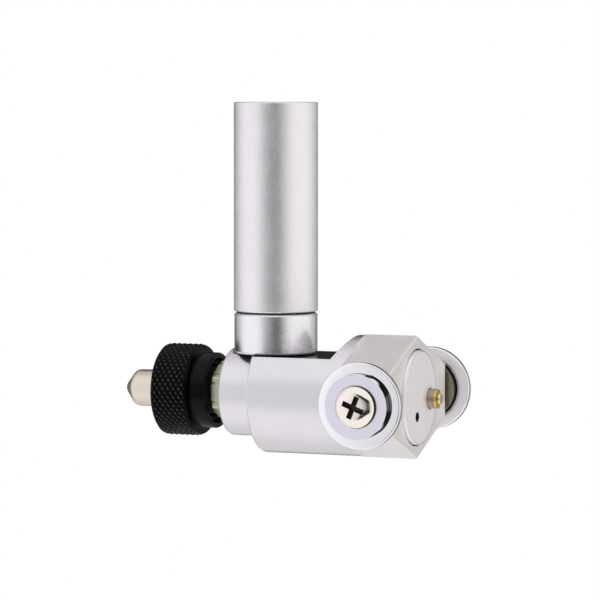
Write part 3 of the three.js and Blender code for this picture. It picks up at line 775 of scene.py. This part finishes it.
for name, side in (("near", -1), ("far", 1)):
    centre = (WHEEL_X, 0)
    rim = f"wheel_rim_{name}"
    rim_start, rim_end = sorted(abs(value) for value in span(rim, "y"))
    rim_middle, rim_half = (rim_start + rim_end) / 2, (rim_end - rim_start) / 2
    rim_radius = half_width(rim, "x")
    hub_in, hub_out = sorted(abs(value) for value in span(f"wheel_hub_{name}", "y"))
    edge, inset = rim_radius - RIM_EDGE, rim_half - RIM_EDGE
    tread = arc(edge, rim_middle - inset, RIM_EDGE, -90, 0, 8)
    tread += arc(edge, rim_middle + inset, RIM_EDGE, 0, 90, 8)
    rim_profile = [(RIM_SEAT + 0.07, rim_start), *tread, (RIM_SEAT + 0.07, rim_end)]
    groove_floor = rim_start + GROOVE_DEPTH
    hub_profile = [
        (HUB_BORE, hub_in), (5.35, hub_in), (5.4, hub_in + 0.05), (5.5, groove_floor),
        (GROOVE_OUTER, groove_floor), (GROOVE_OUTER, rim_start), (RIM_SEAT, rim_start),
        (RIM_SEAT, rim_end), (5.95, hub_out - 0.05), (5.9, hub_out), (HUB_BORE, hub_out),
    ]
    pieces = {
        rim: (rim_profile, polished),
        f"wheel_hub_{name}": (hub_profile, hub_metal),
        f"wheel_bush_{name}": (ring_profile(BUSH_BORE, BUSH_RADIUS, hub_in, hub_out), brass),
        f"axle_sleeve_{name}": (ring_profile(SLEEVE_BORE, SLEEVE_RADIUS, SLEEVE_IN, SCREW_BASE), brass),
        f"spacer_washer_{name}": (ring_profile(SLEEVE_BORE, SPACER_RADIUS, SPACER_IN, SLEEVE_IN), steel),
    }
    for node, (profile, material) in pieces.items():
        profile = [(radius, side * y) for radius, y in profile]
        ring = turned(f"{node}_turned", "y", profile, centre, columns=200, closed=True, sharp=28)
        stand_for(node, ring, material)
    screw = stand_for(f"axle_screw_{name}", screw_surface(name, side), nickel)
    # The recess and the head's lower edge are painted dark brown: painted shade.
    repaint(screw, recess_shade, in_recess)

    # The hub's outer wall is polished. Its inner wall and groove are painted black as painted shade,
    # its inner face has a darker olive tint as painted shade, and the rim's inner side has a paler
    # satin finish as painted light that keeps it bright.
    hub = bpy.data.objects[f"wheel_hub_{name}_turned"]
    turned_rim = bpy.data.objects[f"{rim}_turned"]
    repaint(hub, polished, lambda x, y, z, normal: abs(normal.y) < 0.5 and abs(y) > rim_end - 0.2)
    repaint(hub, rubber, lambda x, y, z, normal: (
        hub_in + 0.1 < abs(y) < groove_floor + 0.05 and math.hypot(x - WHEEL_X, z) < GROOVE_OUTER + 0.05
    ))
    repaint(hub, painted_shade_steel, lambda x, y, z, normal: abs(y) < hub_in + 0.1)
    repaint(turned_rim, satin_painted_bright, lambda x, y, z, normal: abs(y) < rim_start + 0.1 and abs(normal.y) > 0.9)

for node, piece in frame["nodes"].items():
    piece.data.materials.clear()
    piece.data.materials.append(finish_of_slot[slot_of[node]])

# ------------------------------------------------------------------- camera, light, floor
AZIMUTH, ELEVATION = math.radians(21.6), math.radians(3.7)
CAMERA_DISTANCE = 0.62
VIEW_WIDTH = 0.1143  # how much the camera takes in across the object
SENSOR_WIDTH = 36
AIM_RIGHT, AIM_UP = 0.00457, 0.01758
ahead = Vector((math.sin(AZIMUTH), -math.cos(AZIMUTH), 0))
toward = ahead * math.cos(ELEVATION) + Vector((0, 0, math.sin(ELEVATION)))
right = Vector((math.cos(AZIMUTH), math.sin(AZIMUTH), 0))
up = toward.cross(right)
target = Vector((0, 0, AXIS_Z * MM)) + right * AIM_RIGHT + up * AIM_UP
camera_data = bpy.data.cameras.new("camera")
camera_data.lens = SENSOR_WIDTH * CAMERA_DISTANCE / VIEW_WIDTH
camera_data.clip_start = 0.01
camera = bpy.data.objects.new("camera", camera_data)
camera.location = target + toward * CAMERA_DISTANCE
camera.rotation_euler = toward.to_track_quat("Z", "Y").to_euler()
scene = bpy.context.scene
scene.collection.objects.link(camera)
scene.camera = camera
scene.view_settings.view_transform = "Standard"


def smooth(tree, value, start, end):
    """A soft step from 0 to 1 as the value goes from start to end."""
    step = add(tree, "ShaderNodeMapRange", {0: value, 1: start, 2: end}, interpolation_type="SMOOTHSTEP")
    return step.outputs[0]


def dot(tree, first, second):
    """The dot product of two directions."""
    product = add(tree, "ShaderNodeVectorMath", {0: first, 1: second}, operation="DOT_PRODUCT")
    return product.outputs["Value"]


# The tent's brightness at degrees round the object from the camera's side, to the right positive.
TENT_STOPS = (
    (-180, 0.03), (-150, 0.14), (-125, 0.55), (-98, 1.0), (-48, 1.0), (-39, 0.78), (-25, 0.5),
    (-16, 0.36), (-6, 0.13), (8, 0.1), (19, 0.4), (30, 0.78), (45, 1.0), (98, 1.0), (125, 0.6),
    (150, 0.22), (180, 0.03),
)
LEFT_TONE, RIGHT_TONE = (1.0, 0.985, 1.015), (1.0, 0.985, 0.965)


def studio_world():
    """A soft light tent: brightness by direction round the object, with an opening on the
    camera's side, an even top and floor, and a dark arch over and under the camera. Where the
    camera sees past the object, the backdrop is plain white."""
    world = bpy.data.worlds.new("light_tent")
    world.use_nodes = True
    tree = world.node_tree
    tree.nodes.clear()
    direction = add(tree, "ShaderNodeTexCoord").outputs["Generated"]
    front = dot(tree, direction, ahead)
    beside = dot(tree, direction, right)
    angle = calc(tree, "ARCTAN2", beside, front)
    share = calc(tree, "MULTIPLY_ADD", angle, 1 / TURN, 0.5)
    ramp = add(tree, "ShaderNodeValToRGB", {"Fac": share})
    ramp.color_ramp.interpolation = "EASE"
    elements = ramp.color_ramp.elements
    while len(elements) < len(TENT_STOPS):
        elements.new(0.5)
    for element, (degrees, level) in zip(elements, TENT_STOPS):
        tone = LEFT_TONE if degrees < 0 else RIGHT_TONE
        element.position = degrees / 360 + 0.5
        element.color = tuple(level * channel for channel in tone) + (1,)
    height = add(tree, "ShaderNodeSeparateXYZ", {0: direction}).outputs["Z"]
    steep = calc(tree, "ABSOLUTE", height)
    near_side = smooth(tree, front, -0.6, 0.2)
    beyond = mixed(tree, near_side, smooth(tree, steep, 0.4, 0.85), smooth(tree, steep, 0.34, 0.42))
    roof = mixed(tree, near_side, (0.67, 0.65, 0.645, 1), (1.0, 0.985, 1.01, 1))
    tent = mixed(tree, beyond, ramp.outputs[0], roof)
    under = mixed(tree, near_side, (0.78, 0.765, 0.77, 1), (1.0, 0.985, 1.0, 1))
    tent = mixed(tree, smooth(tree, height, -0.4, -0.55), tent, under)
    arch = calc(tree, "MULTIPLY", smooth(tree, steep, 0.13, 0.2), smooth(tree, steep, 0.41, 0.37))
    behind_camera = calc(tree, "MULTIPLY", smooth(tree, angle, -0.68, -0.6), smooth(tree, angle, 0.4, 0.25))
    dark = calc(tree, "MULTIPLY", arch, behind_camera)
    tent = mixed(tree, dark, tent, (0.01, 0.01, 0.01, 1))
    seen = add(tree, "ShaderNodeLightPath").outputs["Is Camera Ray"]
    final = mixed(tree, seen, tent, (1, 1, 1, 1))
    backdrop = add(tree, "ShaderNodeBackground", {"Color": final, "Strength": 1.0})
    add(tree, "ShaderNodeOutputWorld", {"Surface": backdrop.outputs[0]})
    return world


scene.world = studio_world()


FLOOR_GAP = 0.0005
FLOOR_HALF = 2


def pale_floor():
    """A plain pale floor just under the object, as white as the backdrop. Only the camera sees it,
    so it neither lights nor shades the object."""
    material = bpy.data.materials.new("pale_floor")
    material.use_nodes = True
    tree = material.node_tree
    tree.nodes.clear()
    glow = add(tree, "ShaderNodeEmission", {"Color": (1, 1, 1, 1), "Strength": 1.0})
    add(tree, "ShaderNodeOutputMaterial", {"Surface": glow.outputs[0]})
    mesh = bpy.data.meshes.new("floor")
    level = cad_low.z - FLOOR_GAP
    corners = ((-1, -1), (1, -1), (1, 1), (-1, 1))
    mesh.from_pydata([(x * FLOOR_HALF, y * FLOOR_HALF, level) for x, y in corners], [], [(0, 1, 2, 3)])
    mesh.materials.append(material)
    floor = bpy.data.objects.new("floor", mesh)
    scene.collection.objects.link(floor)
    floor.visible_diffuse = False
    floor.visible_glossy = False
    floor.visible_shadow = False


pale_floor()
